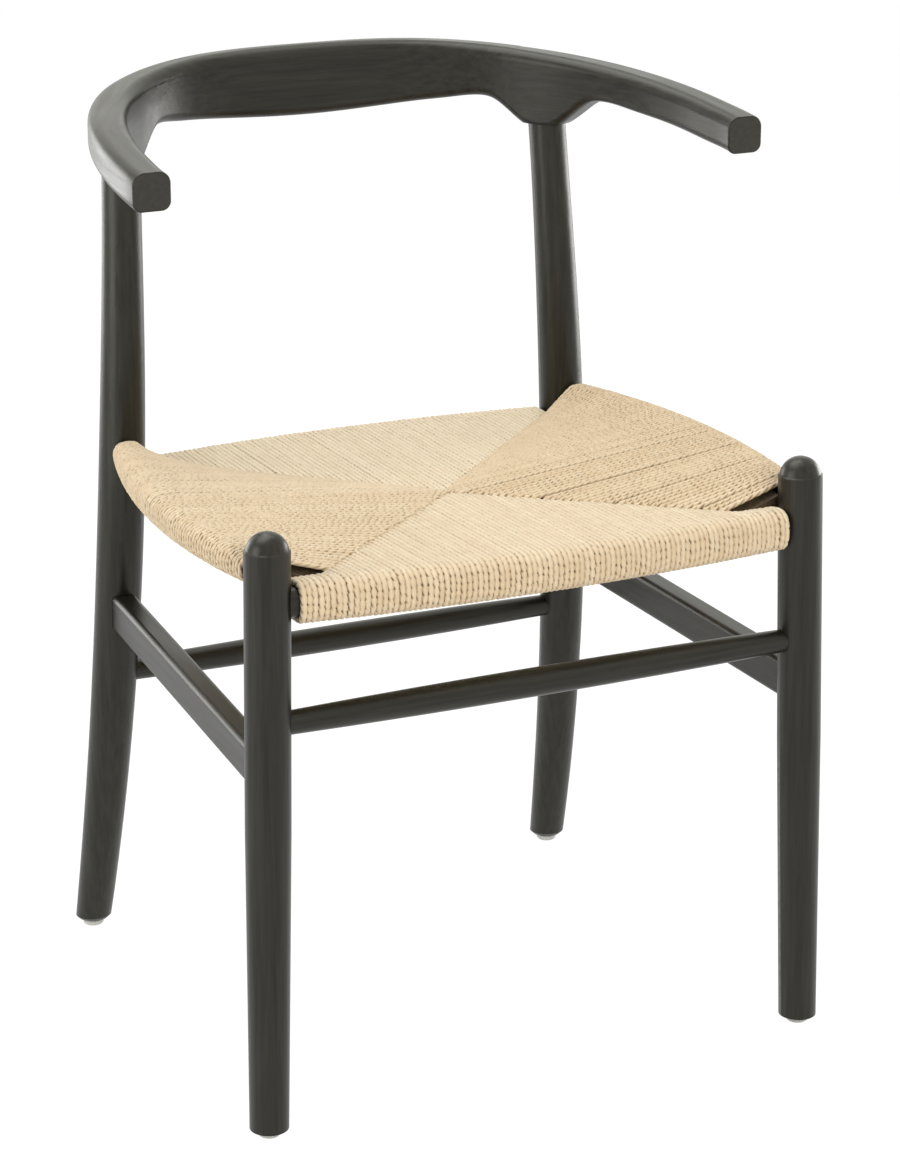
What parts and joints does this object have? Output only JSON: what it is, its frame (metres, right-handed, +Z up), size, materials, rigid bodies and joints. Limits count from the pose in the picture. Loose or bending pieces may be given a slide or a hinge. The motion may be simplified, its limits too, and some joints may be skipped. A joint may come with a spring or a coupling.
{
  "type": "armchair",
  "caption": "Dining armchair with turned black legs, a bent top rail that forms back and arms, and a seat woven from natural paper cord",
  "frame": {"origin": "on the floor, at the middle of the chair's plan", "axes": "+Z up, the sitter faces -Y, +X to the right as seen from the front"},
  "size_m": [0.5354, 0.4937, 0.75],
  "materials": {
    "black_wood": "black satin lacquer over fine grain",
    "dowel_wood": "bare beech",
    "paper_cord": "twisted natural paper cord, matt",
    "glide_plastic": "off-white moulded plastic",
    "steel": "plain steel wire"
  },
  "bodies": {
    "root": {"back_rest": "black_wood", "left_corner": "black_wood", "right_corner": "black_wood", "left_arm": "black_wood", "right_arm": "black_wood", "front_left_leg": "black_wood", "front_right_leg": "black_wood", "rear_left_leg": "black_wood", "rear_right_leg": "black_wood", "front_stretcher": "black_wood", "rear_stretcher": "black_wood", "left_side_stretcher": "black_wood", "right_side_stretcher": "black_wood", "front_seat_rail": "black_wood", "rear_seat_rail": "black_wood", "left_seat_rail": "black_wood", "right_seat_rail": "black_wood", "rail_dowels": "dowel_wood", "woven_seat": "paper_cord", "front_left_glide": "glide_plastic", "front_right_glide": "glide_plastic", "rear_left_glide": "glide_plastic", "rear_right_glide": "glide_plastic", "glide_nails": "steel", "cord_tacks": "steel"}
  },
  "joints": []
}
